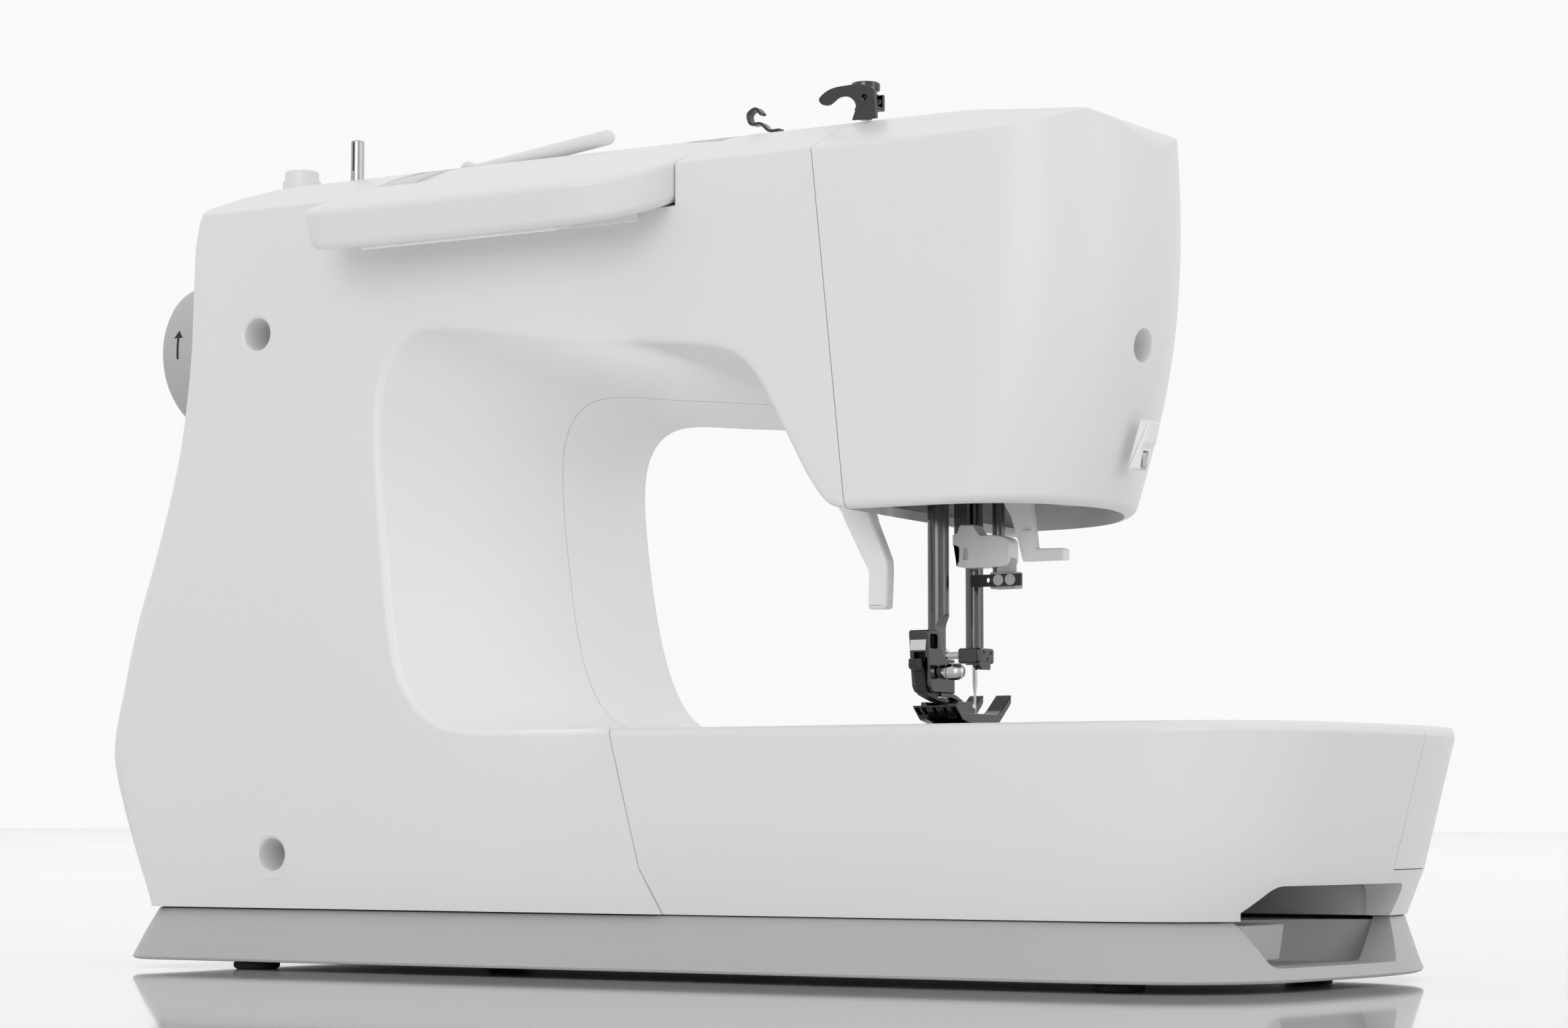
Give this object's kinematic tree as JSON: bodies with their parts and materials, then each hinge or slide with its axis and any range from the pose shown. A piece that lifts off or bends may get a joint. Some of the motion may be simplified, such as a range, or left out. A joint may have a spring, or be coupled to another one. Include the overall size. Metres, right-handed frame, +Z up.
{
  "type": "sewing machine",
  "caption": "Free-arm domestic sewing machine with folding rear handle, handwheel, presser foot and slide-on accessory box.",
  "frame": {"origin": "centre of the footprint on the surface the feet stand on", "axes": "+X from the free arm towards the handwheel, +Y from the user's side towards the rear, +Z up"},
  "size_m": [0.4794, 0.2144, 0.3035],
  "materials": {
    "shell_white": "satin white moulding, fine texture",
    "grip_white": "glossy white insert",
    "base_grey": "satin grey moulding",
    "foot_rubber": "matt black",
    "bright_chrome": "bright plated",
    "satin_steel": "ground steel",
    "frame_alloy": "die-cast alloy",
    "motor_black": "black enamelled can",
    "black_plastic": "satin black moulding",
    "clear_plastic": "milky translucent moulding",
    "lamp_lens": "warm white lens"
  },
  "bodies": {
    "machine": {"rear_cover": "shell_white", "front_cover": "shell_white", "face_cover": "shell_white", "base_plate": "base_grey", "foot_rear_right": "foot_rubber", "foot_rear_left": "foot_rubber", "foot_front_right": "foot_rubber", "foot_front_left": "foot_rubber", "free_arm_cover": "shell_white", "needle_plate": "bright_chrome", "inner_frame": "frame_alloy", "timing_belt": "foot_rubber", "motor_belt": "foot_rubber", "motor": "motor_black", "bobbin_case": "black_plastic", "thread_cutter": "shell_white", "thread_cutter_blade": "satin_steel", "work_lamp": "lamp_lens", "bobbin_winder_stopper": "shell_white", "thread_guide_hook": "bright_chrome", "thread_guide_plate": "bright_chrome", "pre_tension_disc": "bright_chrome", "switch_bezel": "black_plastic", "power_inlet": "black_plastic", "cover_screw_upper": "satin_steel", "cover_screw_lower": "satin_steel"},
    "carrying_handle": {"carry_handle": "shell_white", "handle_grip": "grip_white"},
    "main_drive": {"handwheel": "base_grey", "upper_shaft": "satin_steel"},
    "lower_drive": {"lower_shaft": "satin_steel"},
    "hook": {"rotary_hook": "satin_steel"},
    "bobbin_spool": {"bobbin": "clear_plastic"},
    "motor_shaft": {"motor_pulley": "satin_steel"},
    "needle_slider": {"needle_bar": "satin_steel", "needle_clamp": "bright_chrome", "needle_clamp_screw": "bright_chrome", "needle": "bright_chrome"},
    "take_up": {"take_up_lever": "bright_chrome"},
    "feed": {"feed_dog": "satin_steel"},
    "presser": {"presser_bar": "satin_steel", "presser_ankle": "bright_chrome", "ankle_thumb_screw": "bright_chrome"},
    "foot_release": {"foot_release_lever": "black_plastic"},
    "foot": {"presser_foot": "bright_chrome"},
    "lifter": {"presser_lifter_lever": "clear_plastic"},
    "threader": {"needle_threader": "shell_white", "threader_bracket": "black_plastic"},
    "buttonhole": {"buttonhole_lever": "shell_white"},
    "spool_holder": {"spool_pin": "shell_white"},
    "winder_spindle": {"bobbin_winder_spindle": "satin_steel"},
    "pattern_knob": {"pattern_dial": "base_grey"},
    "length_knob": {"stitch_length_dial": "base_grey"},
    "width_knob": {"stitch_width_dial": "base_grey"},
    "tension_knob": {"thread_tension_dial": "base_grey"},
    "reverse_key": {"reverse_lever": "base_grey"},
    "power_rocker": {"power_switch": "black_plastic"},
    "box": {"accessory_box": "shell_white"},
    "box_door": {"accessory_box_door": "shell_white"},
    "bobbin_cover": {"bobbin_cover_plate": "clear_plastic"}
  },
  "joints": [
    {"name": "handle_fold", "type": "hinge", "parent": "machine", "child": "carrying_handle", "pos_m": [0.04475, 0.04125, 0.274], "axis": [1, 0, 0], "range_deg": [0, 95]},
    {"name": "handwheel_turn", "type": "hinge", "parent": "machine", "child": "main_drive", "pos_m": [0.20475, 0.00725, 0.228], "axis": [1, 0, 0], "continuous": true},
    {"name": "lower_shaft_turn", "type": "hinge", "parent": "machine", "child": "lower_drive", "pos_m": [0.05475, 0.00425, 0.048], "axis": [1, 0, 0], "continuous": true},
    {"name": "hook_turn", "type": "hinge", "parent": "machine", "child": "hook", "pos_m": [-0.09525, -0.01675, 0.06], "axis": [0, 0, 1], "continuous": true},
    {"name": "motor_turn", "type": "hinge", "parent": "machine", "child": "motor_shaft", "pos_m": [0.15475, -0.02175, 0.088], "axis": [1, 0, 0], "continuous": true},
    {"name": "bobbin_turn", "type": "hinge", "parent": "machine", "child": "bobbin_spool", "pos_m": [-0.09525, -0.01675, 0.07], "axis": [0, 0, 1], "continuous": true},
    {"name": "needle_stroke", "type": "slide", "parent": "machine", "child": "needle_slider", "axis": [0, 0, 1], "range_m": [-0.01, 0.014]},
    {"name": "take_up_swing", "type": "hinge", "parent": "machine", "child": "take_up", "pos_m": [-0.08725, -0.01475, 0.226], "axis": [1, 0, 0], "range_deg": [-24, 20]},
    {"name": "feed_travel", "type": "slide", "parent": "machine", "child": "feed", "axis": [0, 1, 0], "range_m": [-0.002, 0.002]},
    {"name": "lifter_swing", "type": "hinge", "parent": "machine", "child": "lifter", "pos_m": [-0.06825, 0.04725, 0.17], "axis": [0, -1, 0], "range_deg": [0, 65]},
    {"name": "presser_lift", "type": "slide", "parent": "machine", "child": "presser", "axis": [0, 0, 1], "range_m": [0, 0.0059]},
    {"name": "release_press", "type": "hinge", "parent": "presser", "child": "foot_release", "pos_m": [-0.09485, 0.04075, 0.097], "axis": [1, 0, 0], "range_deg": [0, 4], "stiffness_Nm_per_rad": 0.006, "springref_deg": -4.58},
    {"name": "foot_tilt", "type": "hinge", "parent": "presser", "child": "foot", "pos_m": [-0.09525, 0.02115, 0.0899], "axis": [1, 0, 0], "range_deg": [-6, 0]},
    {"name": "threader_press", "type": "slide", "parent": "machine", "child": "threader", "axis": [0, 0, 1], "range_m": [-0.012, 0], "stiffness_N_per_m": 25, "springref_m": 0.012},
    {"name": "buttonhole_pull", "type": "slide", "parent": "machine", "child": "buttonhole", "axis": [0, 0, 1], "range_m": [-0.018, 0]},
    {"name": "spool_pin_raise", "type": "hinge", "parent": "machine", "child": "spool_holder", "pos_m": [0.10475, 0.01925, 0.2864], "axis": [0, 1, 0], "range_deg": [0, 75]},
    {"name": "winder_shift", "type": "slide", "parent": "machine", "child": "winder_spindle", "axis": [1, 0, 0], "range_m": [0, 0.005]},
    {"name": "pattern_turn", "type": "hinge", "parent": "machine", "child": "pattern_knob", "pos_m": [0.13675, -0.04475, 0.172], "axis": [0, -1, 0], "continuous": true},
    {"name": "length_turn", "type": "hinge", "parent": "machine", "child": "length_knob", "pos_m": [0.16675, -0.04475, 0.222], "axis": [0, -1, 0], "range_deg": [-20, 280]},
    {"name": "width_turn", "type": "hinge", "parent": "machine", "child": "width_knob", "pos_m": [0.10975, -0.04475, 0.236], "axis": [0, -1, 0], "range_deg": [-20, 260]},
    {"name": "tension_turn", "type": "hinge", "parent": "machine", "child": "tension_knob", "pos_m": [-0.05125, -0.03925, 0.246], "axis": [1, 0, 0], "range_deg": [-140, 140]},
    {"name": "reverse_press", "type": "slide", "parent": "machine", "child": "reverse_key", "axis": [0, 0, 1], "range_m": [-0.0045, 0], "stiffness_N_per_m": 250, "springref_m": 0.004},
    {"name": "power_rock", "type": "hinge", "parent": "machine", "child": "power_rocker", "pos_m": [0.22175, -0.00375, 0.055], "axis": [0, 1, 0], "range_deg": [-12, 0]},
    {"name": "box_slide", "type": "slide", "parent": "machine", "child": "box", "axis": [-1, 0, 0], "range_m": [0, 0.25]},
    {"name": "door_pull", "type": "slide", "parent": "box", "child": "box_door", "axis": [0, -1, 0], "range_m": [0, 0.06]},
    {"name": "bobbin_cover_lift", "type": "slide", "parent": "machine", "child": "bobbin_cover", "axis": [0, 0, 1], "range_m": [0, 0.03]}
  ],
  "couplings": [
    {"joint": "lower_shaft_turn", "follows": "handwheel_turn", "ratio": 1},
    {"joint": "hook_turn", "follows": "handwheel_turn", "ratio": 2},
    {"joint": "motor_turn", "follows": "handwheel_turn", "ratio": 3.6667},
    {"joint": "take_up_swing", "follows": "needle_stroke", "rad_per_m": -28},
    {"joint": "lifter_swing", "follows": "presser_lift", "rad_per_m": 190.4}
  ]
}
